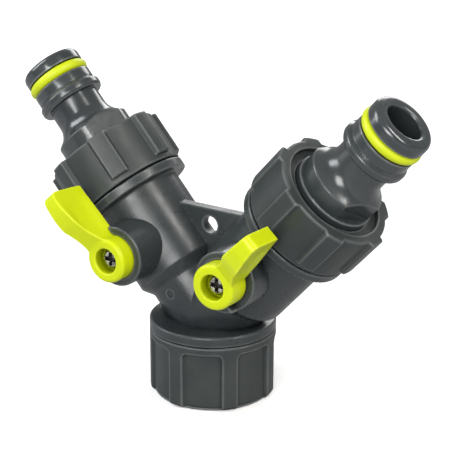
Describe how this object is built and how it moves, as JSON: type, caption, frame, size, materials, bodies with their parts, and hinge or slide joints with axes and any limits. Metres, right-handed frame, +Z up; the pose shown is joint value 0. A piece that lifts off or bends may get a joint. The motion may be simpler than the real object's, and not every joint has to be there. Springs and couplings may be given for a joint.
{
  "type": "hose splitter",
  "caption": "Y-shaped garden hose splitter with a swivel threaded inlet, lever-operated ball valves and quick-connect outlets held by coupling nuts.",
  "frame": {"origin": "centre of the inlet nut's mouth, on its flat rim", "axes": "+Z up along the inlet axis, the outlet arms lean 42 degrees towards +X and -X, the valve levers are on the -Y side"},
  "size_m": [0.115, 0.0447, 0.0831],
  "materials": {
    "dark_plastic": "satin moulded glass-filled nylon, fine grain",
    "nut_plastic": "satin moulded plastic",
    "nipple_plastic": "semi-gloss moulded plastic",
    "lime_plastic": "semi-gloss moulded plastic",
    "lime_rubber": "smooth sealing rubber",
    "black_rubber": "smooth sealing rubber",
    "seat_plastic": "smooth low-friction seat plastic",
    "valve_plastic": "smooth acetal",
    "steel": "bright zinc-plated steel"
  },
  "bodies": {
    "manifold": {"y_body": "dark_plastic", "left_rear_seat": "seat_plastic", "left_front_seat": "seat_plastic", "left_seat_carrier": "dark_plastic", "right_rear_seat": "seat_plastic", "right_front_seat": "seat_plastic", "right_seat_carrier": "dark_plastic"},
    "inlet_nut": {"swivel_nut": "nut_plastic", "inlet_washer": "black_rubber"},
    "left_valve": {"left_lever": "lime_plastic", "left_lever_screw": "steel", "left_valve_stem": "valve_plastic", "left_stem_seals": "black_rubber", "left_ball": "valve_plastic"},
    "left_outlet": {"left_nipple": "nipple_plastic", "left_nipple_o_ring": "lime_rubber", "left_outlet_washer": "black_rubber"},
    "left_coupling_nut": {"left_union_nut": "nut_plastic"},
    "right_valve": {"right_lever": "lime_plastic", "right_lever_screw": "steel", "right_valve_stem": "valve_plastic", "right_stem_seals": "black_rubber", "right_ball": "valve_plastic"},
    "right_outlet": {"right_nipple": "nipple_plastic", "right_nipple_o_ring": "lime_rubber", "right_outlet_washer": "black_rubber"},
    "right_coupling_nut": {"right_union_nut": "nut_plastic"}
  },
  "joints": [
    {"name": "inlet_nut_spin", "type": "hinge", "parent": "manifold", "child": "inlet_nut", "pos_m": [0, 0, 0], "axis": [0, 0, 1], "continuous": true},
    {"name": "left_valve_turn", "type": "hinge", "parent": "manifold", "child": "left_valve", "pos_m": [-0.01586, 0, 0.03806], "axis": [0, -1, 0], "range_deg": [0, 90]},
    {"name": "left_outlet_draw", "type": "slide", "parent": "manifold", "child": "left_outlet", "axis": [-0.6691, 0, 0.7431], "range_m": [0, 0.0073]},
    {"name": "left_nut_spin", "type": "hinge", "parent": "left_outlet", "child": "left_coupling_nut", "pos_m": [-0.03011, 0, 0.05389], "axis": [-0.6691, 0, 0.7431], "range_deg": [0, 1440]},
    {"name": "right_valve_turn", "type": "hinge", "parent": "manifold", "child": "right_valve", "pos_m": [0.01586, 0, 0.03806], "axis": [0, 1, 0], "range_deg": [0, 90]},
    {"name": "right_outlet_draw", "type": "slide", "parent": "manifold", "child": "right_outlet", "axis": [0.6691, 0, 0.7431], "range_m": [0, 0.0073]},
    {"name": "right_nut_spin", "type": "hinge", "parent": "right_outlet", "child": "right_coupling_nut", "pos_m": [0.03011, 0, 0.05389], "axis": [0.6691, 0, 0.7431], "range_deg": [0, 1440]}
  ],
  "couplings": [
    {"joint": "left_outlet_draw", "follows": "left_nut_spin", "m_per_rad": 0.00028875},
    {"joint": "right_outlet_draw", "follows": "right_nut_spin", "m_per_rad": 0.00028875}
  ]
}
